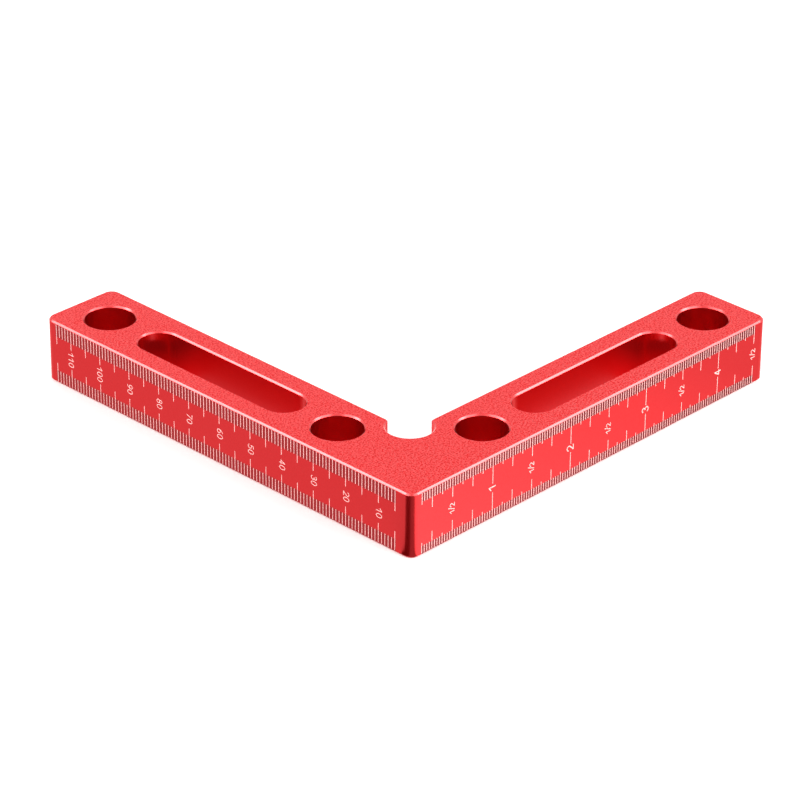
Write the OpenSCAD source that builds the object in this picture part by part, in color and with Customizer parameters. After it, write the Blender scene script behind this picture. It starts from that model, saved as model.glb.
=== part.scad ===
// Clamping square: an L-shaped block that holds two boards at a right angle while they are clamped to it.
// It lies flat on the table. One leg runs along +X and carries an inch scale, the other runs along +Y and
// carries a millimetre scale. The outer corner is the zero of both scales, and the two legs are otherwise alike.

/* [Legs] */
// Length of each leg, along its outer face
leg_length = 119; // [95:1:250]
// Width of each leg, from its outer face to its inner face
leg_width = 21; // [18:0.5:32]
// Height of the block
block_height = 15.8; // [14.5:0.1:30]
// Radius of the upright edge at the outer corner
corner_radius = 2; // [1:0.25:5]
// Radius of the upright edges at the ends of the legs
end_radius = 2.5; // [1:0.25:6]
// Chamfer on every top and bottom edge of the outline
edge_chamfer = 0.35; // [0.2:0.05:0.7]

/* [Corner relief] */
// Radius of the round relief at the inner corner
relief_radius = 5.5; // [4:0.25:7]
// Distance from the inner corner to the relief's centre, outwards in X and in Y
relief_offset = 1.25; // [0:0.25:2]
// Radius of the lips where the relief runs out into the inner faces
lip_radius = 0.8; // [0.75:0.05:1.5]

/* [Clamp holes] */
// Diameter of the through holes
hole_diameter = 12; // [6:0.5:14]
// Distance from the outer corner to the hole beside it, along the leg
near_hole = 33; // [32:0.5:36]
// Distance from the end of the leg to the hole beside it
far_hole_inset = 11; // [9:0.5:14]
// Chamfer on the rims of the holes
hole_chamfer = 0.35; // [0.1:0.05:0.8]

/* [Slots] */
// Width of the slot between the two holes of a leg
slot_width = 10; // [5:0.5:13]
// Wall left between the slot and the hole on either side of it
slot_web = 6; // [3:0.25:8]
// Chamfer on the rims of the slots
slot_chamfer = 0.35; // [0.1:0.05:0.8]

/* [Scale lines] */
// Width of a scale line
line_width = 0.18; // [0.15:0.01:0.4]
// Depth of the engraving that holds the white fill of a line
line_depth = 0.1; // [0.05:0.01:0.3]
// Plain margin between the edge chamfer and the outer end of a line
line_margin = 0.1; // [0.05:0.01:0.5]
// Plain length of the outer face at the end of the leg
scale_end_margin = 4; // [2:0.5:10]
// How far the middle of both scales sits below the middle of the face
scale_drop = 0.15; // [0:0.05:0.5]

/* [Millimetre scale] */
// Distance from the outer corner to the first line
first_millimetre = 5; // [3:1:10]
// How far a millimetre line reaches from the top or bottom face, before the drop
millimetre_reach = 3.5; // [2:0.1:4.5]
// How far every fifth line reaches
five_reach = 5.4; // [4:0.05:6.5]

/* [Inch scale] */
// Lines in one inch
inch_steps = 32; // [16, 32]
// Least distance from the outer corner to the first line
first_inch_line = 3; // [2.5:0.1:10]
// How far the finest lines reach from the top or bottom face, before the drop
step_reach = 2.5; // [1.5:0.1:3]
// How far the eighth inch lines reach
eighth_reach = 3.1; // [2:0.1:4]
// How far the quarter and half inch lines reach
quarter_reach = 4.95; // [4:0.05:6]
// How far the whole inch lines reach
inch_reach = 6.8; // [5:0.05:7]

/* [Hidden] */

$fn = 96;
inch = 25.4;
// How far a cutting shape reaches past the face that it leaves through
overcut = 1;

far_hole = leg_length - far_hole_inset;
leg_centre = leg_width / 2;
slot_start = near_hole + hole_diameter / 2 + slot_web;
slot_end = far_hole - hole_diameter / 2 - slot_web;
relief_centre = leg_width + relief_offset;
// A lip is a small circle inside the leg that touches the inner face, and the relief from outside
lip_inset = leg_width - lip_radius;
lip_along = relief_centre + sqrt(pow(relief_radius + lip_radius, 2) - pow(relief_centre - lip_inset, 2));
// Both scales keep to the flat of the outer faces, clear of the rounded upright edges
line_clearance = line_width + line_margin;
scale_start = corner_radius + line_clearance;
scale_end = leg_length - max(scale_end_margin, end_radius + line_clearance);
inch_pitch = inch / inch_steps;

// How far the line at a whole number of steps from the outer corner reaches
function millimetre_line(step) = step % 5 == 0 ? five_reach : millimetre_reach;
function inch_line(step) =
    step % inch_steps == 0 ? inch_reach :
    step % (inch_steps / 4) == 0 ? quarter_reach :
    step % (inch_steps / 8) == 0 ? eighth_reach :
    step_reach;

// Half section of an upright edge, from its axis out to its radius, with both rims chamfered
function chamfered_half_section(radius) = [
    [0, 0],
    [radius - edge_chamfer, 0],
    [radius, edge_chamfer],
    [radius, block_height - edge_chamfer],
    [radius - edge_chamfer, block_height],
    [0, block_height]
];

// Full section of a bar, with its four long edges chamfered
function chamfered_section(width) = [
    [edge_chamfer, 0],
    [width - edge_chamfer, 0],
    [width, edge_chamfer],
    [width, block_height - edge_chamfer],
    [width - edge_chamfer, block_height],
    [edge_chamfer, block_height],
    [0, block_height - edge_chamfer],
    [0, edge_chamfer]
];

// Section across an opening: straight walls that flare at the top and bottom faces
function flared_section(radius, chamfer) = let (mouth = radius + chamfer + overcut) [
    [-mouth, -overcut],
    [mouth, -overcut],
    [radius, chamfer],
    [radius, block_height - chamfer],
    [mouth, block_height + overcut],
    [-mouth, block_height + overcut],
    [-radius, block_height - chamfer],
    [-radius, chamfer]
];

// The outer corner stands half a leg length from the middle of the outline, in X and in Y
module from_outer_corner() {
    translate([-leg_length / 2, -leg_length / 2, 0]) children();
}

// What is drawn for the leg along +X, carried over to the leg along +Y
module other_leg() {
    mirror([1, -1, 0]) children();
}

module both_legs() {
    children();
    other_leg() children();
}

// Upright post with chamfered rims: one rounded edge of the block
module edge_post(radius) {
    rotate_extrude() polygon(chamfered_half_section(radius));
}

// Straight bar along +X with chamfered long edges and square ends
module chamfered_bar(length, width) {
    rotate([90, 0, 90]) linear_extrude(length) polygon(chamfered_section(width));
}

// One leg along +X: a long bar, a cross bar at either end, and a post in each rounded upright edge
module leg() {
    translate([corner_radius, 0, 0])
        chamfered_bar(leg_length - corner_radius - end_radius, leg_width);
    translate([leg_width, corner_radius, 0])
        rotate(90) chamfered_bar(leg_width - corner_radius, leg_width);
    translate([leg_length, end_radius, 0])
        rotate(90) chamfered_bar(leg_width - 2 * end_radius, leg_width);
    translate([corner_radius, corner_radius, 0]) edge_post(corner_radius);
    for (across = [end_radius, leg_width - end_radius])
        translate([leg_length - end_radius, across, 0]) edge_post(end_radius);
}

// Round opening through the block, with chamfered rims
module round_cut(radius, chamfer) {
    mouth = radius + chamfer + overcut;
    translate([0, 0, -overcut]) cylinder(h = block_height + 2 * overcut, r = radius);
    translate([0, 0, -overcut]) cylinder(h = chamfer + overcut, r1 = mouth, r2 = radius);
    translate([0, 0, block_height - chamfer]) cylinder(h = chamfer + overcut, r1 = radius, r2 = mouth);
}

// Long opening with round ends through the block, with chamfered rims
module slot_cut() {
    radius = slot_width / 2;
    translate([slot_start + radius, 0, 0]) round_cut(radius, slot_chamfer);
    translate([slot_end - radius, 0, 0]) round_cut(radius, slot_chamfer);
    translate([slot_start + radius, 0, 0])
        rotate([90, 0, 90])
            linear_extrude(slot_end - slot_start - slot_width)
                polygon(flared_section(radius, slot_chamfer));
}

// Waste outside a rounded lip: the corner between the lip's axis, the relief's axis and the inner face
module lip_cut() {
    corner = [[lip_along, lip_inset], [relief_centre, relief_centre], [lip_along, leg_width]];
    difference() {
        translate([0, 0, -overcut]) linear_extrude(block_height + 2 * overcut) polygon(corner);
        translate([lip_along, lip_inset, 0]) edge_post(lip_radius);
    }
}

// One line of a scale, drawn flat: up from the bottom edge and down from the top edge
module scale_line(along, reach) {
    start = edge_chamfer + line_margin;
    for (span = [[start, reach - scale_drop], [block_height - reach - scale_drop, block_height - start]])
        translate([along - line_width / 2, span[0]]) square([line_width, span[1] - span[0]]);
}

module millimetre_lines() {
    for (step = [max(first_millimetre, ceil(scale_start)) : floor(scale_end)])
        scale_line(step, millimetre_line(step));
}

module inch_lines() {
    for (step = [ceil(max(first_inch_line, scale_start) / inch_pitch) : floor(scale_end / inch_pitch)])
        scale_line(step * inch_pitch, inch_line(step));
}

// A flat drawing sunk into the outer face of the leg along +X, flush with the face
module engraved() {
    translate([0, line_depth, 0]) rotate([90, 0, 0]) linear_extrude(line_depth) children();
}

// The block: two legs with their openings, and an engraved scale on each outer face
module square_body() {
    color([0.86, 0.1, 0.11])
    from_outer_corner()
    difference() {
        both_legs() leg();
        translate([relief_centre, relief_centre, 0]) round_cut(relief_radius, edge_chamfer);
        both_legs() {
            lip_cut();
            translate([near_hole, leg_centre, 0]) round_cut(hole_diameter / 2, hole_chamfer);
            translate([far_hole, leg_centre, 0]) round_cut(hole_diameter / 2, hole_chamfer);
            translate([0, leg_centre, 0]) slot_cut();
        }
        engraved() inch_lines();
        other_leg() engraved() millimetre_lines();
    }
}

// White fill in the lines of the millimetre scale
module millimetre_scale() {
    color("white") from_outer_corner() other_leg() engraved() millimetre_lines();
}

// White fill in the lines of the inch scale
module inch_scale() {
    color("white") from_outer_corner() engraved() inch_lines();
}

square_body();
millimetre_scale();
inch_scale();
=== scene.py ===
"""A red anodised clamping square on a white studio table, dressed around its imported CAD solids."""

import math

import bmesh
import bpy
import numpy as np
from mathutils import Matrix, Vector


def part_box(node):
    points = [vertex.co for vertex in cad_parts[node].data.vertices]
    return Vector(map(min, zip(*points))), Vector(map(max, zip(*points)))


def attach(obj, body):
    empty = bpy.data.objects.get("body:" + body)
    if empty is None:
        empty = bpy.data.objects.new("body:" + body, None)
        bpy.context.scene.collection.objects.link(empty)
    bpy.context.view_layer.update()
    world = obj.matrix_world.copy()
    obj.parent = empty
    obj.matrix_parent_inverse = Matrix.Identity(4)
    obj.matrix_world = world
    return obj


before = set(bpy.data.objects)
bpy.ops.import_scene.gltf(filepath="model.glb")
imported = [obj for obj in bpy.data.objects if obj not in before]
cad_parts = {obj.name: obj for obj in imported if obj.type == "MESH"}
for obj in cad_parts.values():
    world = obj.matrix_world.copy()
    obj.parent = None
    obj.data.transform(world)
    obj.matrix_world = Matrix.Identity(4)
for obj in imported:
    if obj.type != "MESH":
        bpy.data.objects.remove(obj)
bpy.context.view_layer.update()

MM = 0.001
INCH = 25.4 * MM

# The block's outer corner at table height, where both scales start, and the top corner across from it
OUTER_CORNER, FAR_CORNER = (np.array(corner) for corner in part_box("square_body"))
BLOCK_HEIGHT = FAR_CORNER[2]
# Radius of the rounded outer corner
CORNER_RADIUS = 2 * MM
# Middle line of both legs, from the outer faces
LEG_CENTRE = 10.5 * MM
# Slots of both legs: width, and the centres of their round ends from the outer corner
SLOT_WIDTH = 10 * MM
SLOT_CENTRES = (50 * MM, 91 * MM)

# View of the photograph: where the picture's middle meets the top face, and the camera's place from there
VIEW_POINT = np.array([-30.185, -27.326, 15.8]) * MM
VIEW_AZIMUTH = math.radians(45.861)
VIEW_ELEVATION = math.radians(28.257)
VIEW_ROLL = math.radians(-0.410)
VIEW_DISTANCE = 832.13 * MM
LENS_MM = 167.82
SENSOR_MM = 36.0
# Nearest and farthest that the camera shows
CLIP_START = 0.05
CLIP_END = 20.0

# Figures of the scales: height over all, width, step from figure to figure, width of a stroke, and how far
# the figure's middle sits from its line towards the outer corner
MILLIMETRE_FIGURE = (1.86 * MM, 1.14 * MM, 1.36 * MM, 0.19 * MM, 0.23 * MM)
HUNDRED_FIGURE = MILLIMETRE_FIGURE[:-1] + (-0.11 * MM,)
INCH_FIGURE = (2.28 * MM, 1.46 * MM, 1.46 * MM, 0.26 * MM, 0.18 * MM)
HALF_FIGURE = (1.54 * MM, 1.02 * MM, 0.86 * MM, 0.19 * MM, 0.12 * MM)
MILLIMETRE_NUMBERS = range(10, 111, 10)
INCH_NUMBERS = range(1, 5)
HALF_INCHES = np.arange(0.5, 5.0, 1.0)
# The figures sit a little below the middle of the face
FIGURE_DROP = 0.07 * MM
# How far the printed figures are rooted in the face and stand proud of it, and the step from stroke to stroke
FIGURE_ROOT = 0.010 * MM
FIGURE_PROUD = 0.012 * MM
STROKE_STEP = 0.002 * MM
# Zero of both scales: the outer corner, at the height of the figures' middle
SCALE_ZERO = OUTER_CORNER + [0.0, 0.0, BLOCK_HEIGHT / 2 - FIGURE_DROP]
# Width of the box that a figure's centrelines are drawn in; its height is 1
FIGURE_BOX = 0.58
# Points on a curved stroke, on a closed loop and on each straight run, and the angles of a stroke's round end
ARC_POINTS = 20
LOOP_POINTS = 33
LINE_POINTS = 6
CAP_ANGLES = np.radians(np.linspace(2, 90, 7))[:-1, None]

# Dye on the milled walls and on the flat faces, the darker red put between the scale lines, and the dye in
# the pits of the grain
WALL_RED = (0.74, 0.012, 0.016, 1.0)
FLAT_RED = (0.84, 0.015, 0.019, 1.0)
DARKENED_ZONE_RED = (0.16, 0.006, 0.009, 1.0)
PIT_RED = (0.64, 0.006, 0.008, 1.0)
# Tint of the metal's gloss at grazing angles
GRAZING_RED = (1.0, 0.35, 0.35, 1.0)
# Roughness of the walls and of the flat faces, and how much smoother the chamfers are
WALL_ROUGHNESS = 0.33
FLAT_ROUGHNESS = 0.42
CHAMFER_POLISH = 0.10
# Clear skin over the dye: its weight on walls and flat faces, what chamfers add, and the share left in a pit
WALL_SKIN = 0.42
FLAT_SKIN = 0.94
CHAMFER_SKIN = 0.58
PIT_SKIN = 0.2
SKIN_ROUGHNESS = 0.28
SKIN_INDEX = 1.6
# Blasted grain of the flat faces: pits per metre, depth of a pit, and the share that is left on the walls
BLAST_SCALE = 2600.0
BLAST_DEPTH = 0.03 * MM
WALL_GRAIN = 0.08
# Fill of the scales: white warmed by the red around it, the tone of its pits, its roughness and its grain
FILL_WHITE = (0.97, 0.58, 0.56, 1.0)
FILL_PIT = (0.92, 0.40, 0.38, 1.0)
FILL_ROUGHNESS = 0.6
FILL_SCALE = 5200.0
FILL_DEPTH = 0.008 * MM
# Noise of the grain: its detail, and the levels between which a pit deepens
NOISE_DETAIL = 2.0
PIT_NOISE = (0.56, 0.40)
# How level a face is, from 0 upright to 1: where it comes to count as sloped, and as flat
SLOPED = (0.25, 0.45)
LEVEL = (0.92, 0.98)
# The scale lines sit a little below the middle of the face
SCALE_DROP = 0.15 * MM
SCALE_MIDDLE = BLOCK_HEIGHT / 2 - SCALE_DROP
# Zones of the scale lines: how far they stay from the scales' middle, from the outer corner to either end,
# and how far the red is made darker there
MILLIMETRE_ZONE = (4.40 * MM, 4.8 * MM, 115.2 * MM, 0.586)
INCH_ZONE = (5.40 * MM, 3.0 * MM, 114.5 * MM, 1.0)
# Softness of the zones' edges, and the depth below an outer face that still counts as the face
ZONE_EDGE = 0.15 * MM
FACE_SKIN = 0.05 * MM

WHITE = (1.0, 1.0, 1.0, 1.0)
# Strength of the surroundings as soft light, and where they are seen or reflected
WORLD_FILL = 1.0
WORLD_SEEN = 1.15
# Table: half its width, its distance below the block, its grey, and its glow where it is seen
TABLE_HALF = 3.0
TABLE_DROP = 0.03 * MM
TABLE_GREY = (0.88, 0.88, 0.88, 1.0)
TABLE_GLOW = 0.14

# A trace of warmth in the lamps
LAMP_COLOUR = (1.0, 0.97, 0.93)
UPWARDS = (0.0, 0.0, 1.0)
# Pairs of lamps: place and long axis of the left one, size in metres, and power on the left and on the right
SOFTBOXES = ((-0.40, 0.48, 0.50), UPWARDS, (0.26, 0.26), (2.2, 2.2))
STRIPS = ((-0.44, 0.21, 0.63), (-0.04, -0.95, 0.31), (0.62, 0.20), (2.0, 2.05))
FILLS = ((-0.60, 0.05, 0.25), UPWARDS, (0.3, 0.3), (0.4, 2.0))

# Colour of the cards that darken what the block reflects without greying it
DARK_CARD_RED = (1.0, 0.08, 0.09, 1.0)
# A card of one strength still names an axis
NO_FADE = ("X", 0.0, 1.0)
# Heights of the cards, the front flag and its lighter edge above the foot of the block
CARD_HEIGHT = 0.2 * MM
FLAG_HEIGHT = 0.4 * MM
FLAG_EDGE_HEIGHT = 0.3 * MM
# Cards beside the outer faces: distance from the face, outer edge, start of the right one, and strengths
CARD_GAP = 0.1 * MM
CARD_REACH = 0.36
RIGHT_CARD_START = -0.16
LEFT_CARD_LIGHT = (0.94, 0.94)
RIGHT_CARD_LIGHT = (2.15, 1.08)
RIGHT_CARD_FADE = ("X", OUTER_CORNER[0], FAR_CORNER[0])
# Flags in front of the rounded corner: azimuths in degrees where they start, meet and end, distance from
# the corner, reach from its axis, points along each edge, and strengths
FLAG_AZIMUTHS = (151, 211, 266)
FLAG_GAP = 0.05 * MM
FLAG_REACH = 300 * MM
FLAG_POINTS = 13
FLAG_LIGHT = (0.11, 0.11)
FLAG_EDGE_LIGHT = (0.36, 0.36)
# Cards under the slots: play round the card, and the strengths and fades for each leg
SLOT_PLAY = 0.2 * MM
RIGHT_SLOT_LIGHT = ((1.2, 1.1), ("X", 0.0, 30 * MM))
LEFT_SLOT_LIGHT = ((1.05, 0.95), ("Y", 0.0, 30 * MM))
# Cards at the far ends of the slots: distance from the outer corner, half the width, foot, top, and strengths
END_CARD = (93 * MM, 4.3 * MM, 0.4 * MM, 12.5 * MM)
END_FADE = ("Z", 1.5 * MM, 10.5 * MM)
RIGHT_END_LIGHT = (1.05, 0.28)
LEFT_END_LIGHT = (0.9, 0.2)


def mirrored(points):
    """The same point or points with X and Y changed over, which takes one leg to the other."""
    points = np.array(points, float)
    return np.concatenate([points[..., 1::-1], points[..., 2:]], axis=-1)


def placed(right, up, back, middle):
    """The matrix whose columns are three axes and a middle."""
    place = np.eye(4)
    place[:3] = np.column_stack([right, up, back, middle])
    return Matrix(place.tolist())


def studio_camera():
    """Stands the camera back from the view point along the view's azimuth and elevation, and rolls it."""
    level = np.array([math.cos(VIEW_AZIMUTH), -math.sin(VIEW_AZIMUTH), 0.0])
    ahead = np.array([math.sin(VIEW_AZIMUTH), math.cos(VIEW_AZIMUTH), 0.0]) * math.cos(VIEW_ELEVATION)
    ahead[2] = -math.sin(VIEW_ELEVATION)
    right = level * math.cos(VIEW_ROLL) + np.cross(ahead, level) * math.sin(VIEW_ROLL)
    lens = bpy.data.cameras.new("studio_camera")
    lens.lens = LENS_MM
    lens.sensor_width = SENSOR_MM
    lens.clip_start = CLIP_START
    lens.clip_end = CLIP_END
    camera = bpy.data.objects.new("studio_camera", lens)
    camera.matrix_world = placed(right, np.cross(right, ahead), -ahead, VIEW_POINT - ahead * VIEW_DISTANCE)
    bpy.context.collection.objects.link(camera)
    bpy.context.scene.camera = camera


def arc(centre, radii, start, end, count=ARC_POINTS):
    """Points of an ellipse round the centre, from the start angle to the end angle in degrees."""
    angles = np.radians(np.linspace(start, end, count))
    return np.array(centre) + np.array(radii) * np.column_stack([np.cos(angles), np.sin(angles)])


def line(*points):
    """A straight run through the given points, cut into short steps so that strokes stay even."""
    points = np.array(points, float)
    runs = [np.linspace(a, b, LINE_POINTS)[:-1] for a, b in zip(points, points[1:])]
    return np.vstack(runs + [points[-1:]])


def loop(centre, radii):
    """A closed ellipse; its first point isn't repeated."""
    return arc(centre, radii, 0, 360, LOOP_POINTS)[:-1]


def half_turn(strokes):
    """The same strokes turned upside down in the figure's box."""
    return [(np.array([FIGURE_BOX, 1.0]) - path, closed) for path, closed in strokes]


def figure_strokes():
    """Each figure as a list of strokes: the points of a centreline, and whether it closes on itself."""
    six = [(loop((0.29, 0.30), (0.28, 0.30)), True),
           (arc((0.55, 0.30), (0.54, 0.69), 97, 180), False)]
    two = np.vstack([arc((0.29, 0.71), (0.28, 0.29), 168, -32), line((0.50, 0.52), (0.02, 0.00))])
    return {
        "0": [(loop((0.29, 0.50), (0.29, 0.50)), True)],
        "1": [(line((0.02, 0.68), (0.38, 1.00)), False),
              (line((0.38, 1.00), (0.38, 0.00)), False)],
        "2": [(two, False),
              (line((0.02, 0.00), (0.58, 0.00)), False)],
        "3": [(arc((0.27, 0.76), (0.25, 0.24), 150, -85), False),
              (arc((0.27, 0.27), (0.30, 0.27), 88, -150), False)],
        "4": [(line((0.42, 1.00), (0.00, 0.28)), False),
              (line((0.00, 0.28), (0.58, 0.28)), False),
              (line((0.42, 1.00), (0.42, 0.00)), False)],
        "5": [(line((0.52, 1.00), (0.13, 1.00)), False),
              (line((0.13, 1.00), (0.07, 0.54)), False),
              (arc((0.27, 0.33), (0.30, 0.33), 130, -150), False)],
        "6": six,
        "7": [(line((0.00, 1.00), (0.58, 1.00)), False),
              (line((0.58, 1.00), (0.20, 0.00)), False)],
        "8": [(loop((0.29, 0.76), (0.23, 0.24)), True),
              (loop((0.29, 0.27), (0.28, 0.27)), True)],
        "9": half_turn(six),
        "/": [(line((0.06, -0.02), (0.54, 1.36)), False)],
    }


FIGURES = figure_strokes()


def stroke_solid(path, closed, width, proud):
    """A flat bar carried along a centreline.

    At each station the bar's two edges lie half a width to either side of the centreline, across its tangent.
    An open stroke ends in a half circle: past its end the half width falls as the sine of the angle while the
    station moves on by the cosine. Four corners, low and high on either edge, make the section.
    Returns the corners, as (across the figure, up the figure, out of the face), and the faces.
    """
    half = width / 2
    if closed:
        ahead = np.roll(path, -1, axis=0) - np.roll(path, 1, axis=0)
        reach = np.full(len(path), half)
    else:
        ahead = np.gradient(path, axis=0)
        first, last = (v / np.linalg.norm(v) for v in (ahead[0], ahead[-1]))
        caps = half * np.sin(CAP_ANGLES[:, 0])
        beyond = half * np.cos(CAP_ANGLES)
        reach = np.concatenate([caps, np.full(len(path), half), caps[::-1]])
        path = np.vstack([path[0] - first * beyond, path, path[-1] + last * beyond[::-1]])
        ahead = np.vstack([np.tile(first, (len(caps), 1)), ahead, np.tile(last, (len(caps), 1))])
    ahead = ahead / np.linalg.norm(ahead, axis=1, keepdims=True)
    side = np.column_stack([-ahead[:, 1], ahead[:, 0]]) * reach[:, None]
    low, high = (np.full((len(path), 1), height) for height in (-FIGURE_ROOT, proud))
    corners = np.stack([np.hstack([path + side, low]), np.hstack([path + side, high]),
                        np.hstack([path - side, high]), np.hstack([path - side, low])], axis=1)
    count = len(path)
    stations = np.arange(count if closed else count - 1)[:, None]
    edges = np.arange(4)[None, :]
    after, beside = (stations + 1) % count, (edges + 1) % 4
    faces = np.stack([stations * 4 + edges, after * 4 + edges, after * 4 + beside, stations * 4 + beside], -1)
    faces = faces.reshape(-1, 4)
    if not closed:
        section = np.arange(4)
        faces = np.vstack([faces, section, 4 * count - 1 - section])
    return corners.reshape(-1, 3), faces


def label_solids(text, figure, origin, across, up):
    """The strokes of a label beside its line at origin, written along across, with figure tops towards up.

    Each stroke stands a little higher than the one before, so that crossing strokes never share a plane.
    """
    height, width, step, stroke, lead = figure
    scale = np.array([(width - stroke) / FIGURE_BOX, height - stroke])
    axes = np.stack([across, up, np.cross(across, up)])
    solids = []
    for place, letter in enumerate(text):
        aside = (place - (len(text) - 1) / 2) * step - (width - stroke) / 2
        shift = np.array([aside, (stroke - height) / 2 + lead])
        for path, closed in FIGURES[letter]:
            proud = FIGURE_PROUD + len(solids) * STROKE_STEP
            corners, faces = stroke_solid(path * scale + shift, closed, stroke, proud)
            solids.append((origin + corners @ axes, faces))
    return solids


def printed_numbers(name, labels, material):
    """One piece of all the labels of a scale, lying on the block's face."""
    solids = [solid for label in labels for solid in label_solids(*label)]
    starts = np.cumsum([0] + [len(corners) for corners, _ in solids[:-1]])
    corners = np.vstack([corners for corners, _ in solids])
    faces = np.vstack([faces + start for (_, faces), start in zip(solids, starts)])
    mesh = bpy.data.meshes.new(name)
    mesh.from_pydata(corners.tolist(), [], faces.tolist())
    shaper = bmesh.new()
    shaper.from_mesh(mesh)
    bmesh.ops.recalc_face_normals(shaper, faces=shaper.faces)
    shaper.to_mesh(mesh)
    shaper.free()
    mesh.materials.append(material)
    piece = bpy.data.objects.new(name, mesh)
    bpy.context.collection.objects.link(piece)
    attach(piece, "root")


def millimetre_labels():
    """Tens of millimetres up the leg along +Y, reading downwards, figure tops towards the outer corner."""
    across, up = np.array([0.0, 0.0, -1.0]), np.array([0.0, -1.0, 0.0])
    for number in MILLIMETRE_NUMBERS:
        figure = MILLIMETRE_FIGURE if number < 100 else HUNDRED_FIGURE
        yield str(number), figure, SCALE_ZERO + [0.0, number * MM, 0.0], across, up


def inch_labels():
    """Whole and half inches along the leg along +X, reading upwards, figure tops towards the outer corner."""
    across, up = np.array([0.0, 0.0, 1.0]), np.array([-1.0, 0.0, 0.0])
    for number in INCH_NUMBERS:
        yield str(number), INCH_FIGURE, SCALE_ZERO + [number * INCH, 0.0, 0.0], across, up
    for number in HALF_INCHES:
        yield "1/2", HALF_FIGURE, SCALE_ZERO + [number * INCH, 0.0, 0.0], across, up


# Numbers of a Mix node's colour sockets, which share their names with its other kinds
COLOUR_IN = 6
OTHER_COLOUR_IN = 7
COLOUR_OUT = 2


def add_node(tree, kind, sockets=(), **settings):
    """Adds a shader node, sets its properties, and sets or links its input sockets by name or number."""
    made = tree.nodes.new(kind)
    for name, value in settings.items():
        setattr(made, name, value)
    for name, value in dict(sockets).items():
        if isinstance(value, bpy.types.NodeSocket):
            tree.links.new(value, made.inputs[name])
        else:
            made.inputs[name].default_value = value
    return made


def reckon(tree, operation, *values):
    """The result of a Math node on the given values or sockets."""
    return add_node(tree, "ShaderNodeMath", enumerate(values), operation=operation).outputs[0]


def rise(tree, value, start, end):
    """0 before the start of a range, 1 past its end, and straight between; the end may be the lower one."""
    sockets = {"Value": value, "From Min": start, "From Max": end}
    return add_node(tree, "ShaderNodeMapRange", sockets).outputs[0]


def between(tree, mask, low, high):
    """A value that goes from low to high as a mask goes from 0 to 1."""
    sockets = {"Value": mask, "To Min": low, "To Max": high}
    return add_node(tree, "ShaderNodeMapRange", sockets).outputs[0]


def tinted(tree, mask, colour, other):
    """A colour that goes over to another as a mask goes from 0 to 1."""
    sockets = {"Factor": mask, COLOUR_IN: colour, OTHER_COLOUR_IN: other}
    return add_node(tree, "ShaderNodeMix", sockets, data_type="RGBA").outputs[COLOUR_OUT]


def product(tree, *factors):
    """All the factors multiplied together."""
    result = factors[0]
    for factor in factors[1:]:
        result = reckon(tree, "MULTIPLY", result, factor)
    return result


def object_place(tree):
    """The coordinates of a point of the surface, by axis."""
    place = add_node(tree, "ShaderNodeTexCoord").outputs["Object"]
    return add_node(tree, "ShaderNodeSeparateXYZ", {0: place}).outputs


def new_material(name):
    """An empty node material; returns the material, its tree and its output node."""
    material = bpy.data.materials.new(name)
    material.use_nodes = True
    tree = material.node_tree
    tree.nodes.clear()
    output = tree.nodes.new("ShaderNodeOutputMaterial")
    return material, tree, output


def new_group(name, inputs, outputs):
    """An empty node group of float inputs and outputs of given kinds; returns its tree, ins and outs."""
    tree = bpy.data.node_groups.new(name, "ShaderNodeTree")
    for label in inputs:
        tree.interface.new_socket(label, in_out="INPUT", socket_type="NodeSocketFloat")
    for label, kind in outputs.items():
        tree.interface.new_socket(label, in_out="OUTPUT", socket_type=kind)
    return tree, tree.nodes.new("NodeGroupInput"), tree.nodes.new("NodeGroupOutput")


def facing_group():
    """Masks from the way a surface faces.

    Flat is 1 on level faces. Chamfer is 1 on faces sloped halfway between level and upright.
    """
    tree, _, outs = new_group("facing", (), {"Flat": "NodeSocketFloat", "Chamfer": "NodeSocketFloat"})
    facing = add_node(tree, "ShaderNodeTexCoord").outputs["Normal"]
    upward = add_node(tree, "ShaderNodeSeparateXYZ", {0: facing}).outputs["Z"]
    tilt = reckon(tree, "ABSOLUTE", upward)
    flat = rise(tree, tilt, *LEVEL)
    tree.links.new(flat, outs.inputs["Flat"])
    tree.links.new(reckon(tree, "SUBTRACT", rise(tree, tilt, *SLOPED), flat), outs.inputs["Chamfer"])
    return tree


def grain_group():
    """Fine pits in a surface: a pit mask from fine noise, and the normal of a surface that dips in the pits.

    Scale is in pits per metre and Depth in metres. Amount fades the pits away.
    """
    tree, ins, outs = new_group("grain", ("Scale", "Depth", "Amount"),
                                {"Pits": "NodeSocketFloat", "Normal": "NodeSocketVector"})
    place = add_node(tree, "ShaderNodeTexCoord").outputs["Object"]
    noise = add_node(tree, "ShaderNodeTexNoise",
                     {"Vector": place, "Scale": ins.outputs["Scale"], "Detail": NOISE_DETAIL})
    pits = product(tree, rise(tree, noise.outputs["Fac"], *PIT_NOISE), ins.outputs["Amount"])
    bump = add_node(tree, "ShaderNodeBump", {"Height": pits, "Distance": ins.outputs["Depth"]}, invert=True)
    tree.links.new(pits, outs.inputs["Pits"])
    tree.links.new(bump.outputs["Normal"], outs.inputs["Normal"])
    return tree


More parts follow.
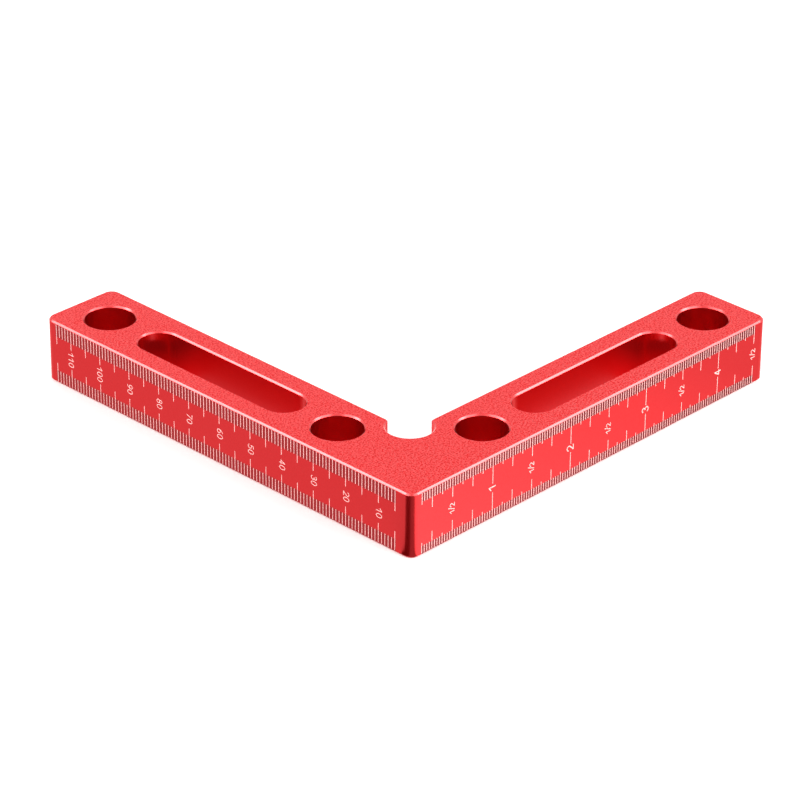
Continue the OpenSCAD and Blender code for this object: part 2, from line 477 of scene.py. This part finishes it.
def engraved_group():
    """Zone is up to 1 on the outer faces where the scale lines stand close, above and below the figures.

    The outer corner lies as far out in X as in Y, so one zero serves both legs.
    """
    tree, _, outs = new_group("engraved", (), {"Zone": "NodeSocketFloat"})
    place = object_place(tree)
    level = reckon(tree, "ABSOLUTE", reckon(tree, "SUBTRACT", place["Z"], SCALE_MIDDLE))
    zero = OUTER_CORNER[0]
    skin = zero + FACE_SKIN
    zones = []
    for across, along, (reach, start, end, share) in (("X", "Y", MILLIMETRE_ZONE), ("Y", "X", INCH_ZONE)):
        zones.append(product(tree, rise(tree, place[across], skin + FACE_SKIN, skin),
                             rise(tree, level, reach - ZONE_EDGE, reach + ZONE_EDGE),
                             rise(tree, place[along], zero + start - ZONE_EDGE, zero + start),
                             rise(tree, place[along], zero + end + ZONE_EDGE, zero + end), share))
    tree.links.new(reckon(tree, "MAXIMUM", *zones), outs.inputs["Zone"])
    return tree


def red_anodised(facing, grain, engraved):
    """Dyed anodised aluminium: red metal under a clear hard skin.

    The flat top and bottom carry a fine blasted grain, the upright walls are milled smooth, and the chamfers
    are cut last and shine most. The red is made darker between the scale lines.
    """
    material, tree, output = new_material("red_anodised")
    masks = add_node(tree, "ShaderNodeGroup", node_tree=facing).outputs
    flat, chamfer = masks["Flat"], masks["Chamfer"]
    # Where the scale lines stand close, the red is made darker
    darkened_zone = add_node(tree, "ShaderNodeGroup", node_tree=engraved).outputs["Zone"]
    amount = between(tree, flat, WALL_GRAIN, 1.0)
    blast = add_node(tree, "ShaderNodeGroup", node_tree=grain)
    blast.inputs["Scale"].default_value = BLAST_SCALE
    blast.inputs["Depth"].default_value = BLAST_DEPTH
    tree.links.new(amount, blast.inputs["Amount"])
    pits = blast.outputs["Pits"]
    dye = tinted(tree, darkened_zone, tinted(tree, flat, WALL_RED, FLAT_RED), DARKENED_ZONE_RED)
    rough = between(tree, flat, WALL_ROUGHNESS, FLAT_ROUGHNESS)
    skin = reckon(tree, "MULTIPLY_ADD", chamfer, CHAMFER_SKIN, between(tree, flat, WALL_SKIN, FLAT_SKIN))
    metal = add_node(tree, "ShaderNodeBsdfPrincipled", {
        "Base Color": tinted(tree, pits, dye, PIT_RED),
        "Metallic": 1.0,
        "Roughness": reckon(tree, "MULTIPLY_ADD", chamfer, -CHAMFER_POLISH, rough),
        "Specular Tint": GRAZING_RED,
        "Coat Weight": product(tree, skin, between(tree, pits, 1.0, PIT_SKIN)),
        "Coat Roughness": SKIN_ROUGHNESS,
        "Coat IOR": SKIN_INDEX,
        "Normal": blast.outputs["Normal"],
    })
    tree.links.new(metal.outputs[0], output.inputs["Surface"])
    return material


def scale_white(grain):
    """Matt white fill of the scale lines and figures, a little uneven, with red showing through its pits."""
    material, tree, output = new_material("scale_white")
    fleck = add_node(tree, "ShaderNodeGroup", node_tree=grain)
    fleck.inputs["Scale"].default_value = FILL_SCALE
    fleck.inputs["Depth"].default_value = FILL_DEPTH
    fleck.inputs["Amount"].default_value = 1.0
    fill = add_node(tree, "ShaderNodeBsdfPrincipled", {
        "Base Color": tinted(tree, fleck.outputs["Pits"], FILL_WHITE, FILL_PIT),
        "Roughness": FILL_ROUGHNESS,
        "Normal": fleck.outputs["Normal"],
    })
    tree.links.new(fill.outputs[0], output.inputs["Surface"])
    return material


def area_lamp(name, middle, long_axis, size, power, only):
    """A rectangular area lamp that faces the middle of the block, with its long side near a given axis.

    It can be kept to one kind of light, gloss or diffuse.
    """
    lamp = bpy.data.lights.new(name, "AREA")
    lamp.shape = "RECTANGLE"
    lamp.size, lamp.size_y = size
    lamp.energy = power
    lamp.color = LAMP_COLOUR
    stand = bpy.data.objects.new(name, lamp)
    back = np.array(middle) / np.linalg.norm(middle)
    along = np.array(long_axis) - back * np.dot(long_axis, back)
    along = along / np.linalg.norm(along)
    stand.matrix_world = placed(along, np.cross(back, along), back, middle)
    if only:
        stand.visible_camera = stand.visible_transmission = False
        stand.visible_diffuse = only == "diffuse"
        stand.visible_glossy = only == "gloss"
    bpy.context.collection.objects.link(stand)


def lamp_pair(name, middle, long_axis, size, powers, only=None):
    """A lamp on the left of the block, and one that mirrors its place on the right, each with its power."""
    area_lamp("left_" + name, middle, long_axis, size, powers[0], only)
    area_lamp("right_" + name, mirrored(middle), mirrored(long_axis), size, powers[1], only)


def seen_directly(tree):
    """1 for rays that show the background: from the camera, or by way of gloss or glass; 0 for soft light."""
    path = add_node(tree, "ShaderNodeLightPath").outputs
    seen = reckon(tree, "MAXIMUM", path["Is Camera Ray"], path["Is Glossy Ray"])
    return reckon(tree, "MAXIMUM", seen, path["Is Transmission Ray"])


def white_world():
    """White where it is seen or reflected, and a soft fill for everything else."""
    world = bpy.data.worlds.new("studio")
    bpy.context.scene.world = world
    world.use_nodes = True
    tree = world.node_tree
    tree.nodes.clear()
    strength = between(tree, seen_directly(tree), WORLD_FILL, WORLD_SEEN)
    sky = add_node(tree, "ShaderNodeBackground", {"Color": WHITE, "Strength": strength})
    output = add_node(tree, "ShaderNodeOutputWorld")
    tree.links.new(sky.outputs[0], output.inputs["Surface"])


def stage_sheet(name, corners, material):
    """A flat sheet of the stage, with its corners in order round its edge."""
    mesh = bpy.data.meshes.new(name)
    mesh.from_pydata(corners, [], [tuple(range(len(corners)))])
    mesh.materials.append(material)
    sheet = bpy.data.objects.new(name, mesh)
    bpy.context.collection.objects.link(sheet)
    return sheet


def rectangle(x0, x1, y0, y1):
    """Outline of a rectangle from its two edges in X and in Y."""
    return [(x0, y0), (x1, y0), (x1, y1), (x0, y1)]


def at_height(outline, height):
    """The corners of a level sheet from its outline."""
    return [(x, y, height) for x, y in outline]


def table_top():
    """A wide white table that keeps the block's shadow."""
    material, tree, output = new_material("table_white")
    matt = add_node(tree, "ShaderNodeBsdfDiffuse", {"Color": TABLE_GREY})
    lift = product(tree, seen_directly(tree), TABLE_GLOW)
    glow = add_node(tree, "ShaderNodeEmission", {"Color": WHITE, "Strength": lift})
    both = add_node(tree, "ShaderNodeAddShader", {0: matt.outputs[0], 1: glow.outputs[0]})
    tree.links.new(both.outputs[0], output.inputs["Surface"])
    outline = rectangle(-TABLE_HALF, TABLE_HALF, -TABLE_HALF, TABLE_HALF)
    stage_sheet("table_top", at_height(outline, -TABLE_DROP), material)


def gloss_card(name, corners, strengths, fade=NO_FADE, colour=WHITE):
    """A flat card, seen only in gloss, that lights or darkens what the block's walls reflect.

    Its light fades from the first strength to the second along an axis, between two places on it.
    """
    material, tree, output = new_material(name)
    axis, start, end = fade
    level = between(tree, rise(tree, object_place(tree)[axis], start, end), *strengths)
    glow = add_node(tree, "ShaderNodeEmission", {"Color": colour, "Strength": level})
    tree.links.new(glow.outputs[0], output.inputs["Surface"])
    card = stage_sheet(name, corners, material)
    card.visible_camera = card.visible_diffuse = card.visible_transmission = card.visible_shadow = False


def side_cards():
    """A card beside each outer face; the right one is brighter, and fades along its leg."""
    left_edge, front_edge = OUTER_CORNER[:2] - CARD_GAP
    left = rectangle(-CARD_REACH, left_edge, OUTER_CORNER[1], CARD_REACH)
    right = rectangle(RIGHT_CARD_START, CARD_REACH, -CARD_REACH, front_edge)
    gloss_card("left_card", at_height(left, CARD_HEIGHT), LEFT_CARD_LIGHT)
    gloss_card("right_card", at_height(right, CARD_HEIGHT), RIGHT_CARD_LIGHT, RIGHT_CARD_FADE)


def sector(start, end):
    """Outline of a sector of a ring round the rounded outer corner's axis, between azimuths in degrees."""
    ring = arc((0.0, 0.0), (1.0, 1.0), start, end, FLAG_POINTS)
    edges = np.vstack([ring * (CORNER_RADIUS + FLAG_GAP), ring[::-1] * FLAG_REACH])
    return OUTER_CORNER[:2] + CORNER_RADIUS + edges


def corner_flags():
    """A dark flag in front of the rounded corner and a lighter one beside it, so that the corner is dark."""
    start, meeting, end = FLAG_AZIMUTHS
    front = at_height(sector(start, meeting), FLAG_HEIGHT)
    edge = at_height(sector(meeting, end), FLAG_EDGE_HEIGHT)
    gloss_card("front_flag", front, FLAG_LIGHT, NO_FADE, DARK_CARD_RED)
    gloss_card("flag_edge", edge, FLAG_EDGE_LIGHT)


def slot_cards():
    """A card on the table under each slot, of two half circles joined by straight sides."""
    radius = (SLOT_WIDTH - SLOT_PLAY) / 2
    near, far = (OUTER_CORNER[:2] + [along, LEG_CENTRE] for along in SLOT_CENTRES)
    outline = np.vstack([arc(near, (radius, radius), 90, 270), arc(far, (radius, radius), -90, 90)])
    gloss_card("right_slot_card", at_height(outline, CARD_HEIGHT), *RIGHT_SLOT_LIGHT)
    gloss_card("left_slot_card", at_height(mirrored(outline[::-1]), CARD_HEIGHT), *LEFT_SLOT_LIGHT)


def end_cards():
    """A red card that stands across each slot near its far end."""
    along, half, foot, top = END_CARD
    sides = ((-half, foot), (half, foot), (half, top), (-half, top))
    corners = OUTER_CORNER + [(along, LEG_CENTRE + across, height) for across, height in sides]
    gloss_card("right_end_card", corners.tolist(), RIGHT_END_LIGHT, END_FADE, DARK_CARD_RED)
    gloss_card("left_end_card", mirrored(corners).tolist(), LEFT_END_LIGHT, END_FADE, DARK_CARD_RED)


studio_camera()
white_world()
table_top()
lamp_pair("softbox", *SOFTBOXES)
lamp_pair("strip", *STRIPS, "gloss")
lamp_pair("fill", *FILLS, "diffuse")
side_cards()
corner_flags()
slot_cards()
end_cards()

fine_grain = grain_group()
red = red_anodised(facing_group(), fine_grain, engraved_group())
white = scale_white(fine_grain)
for node, finish in (("square_body", red), ("millimetre_scale", white), ("inch_scale", white)):
    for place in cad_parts[node].material_slots:
        place.material = finish
printed_numbers("millimetre_numbers", millimetre_labels(), white)
printed_numbers("inch_numbers", inch_labels(), white)

bpy.context.scene.view_settings.view_transform = "Standard"
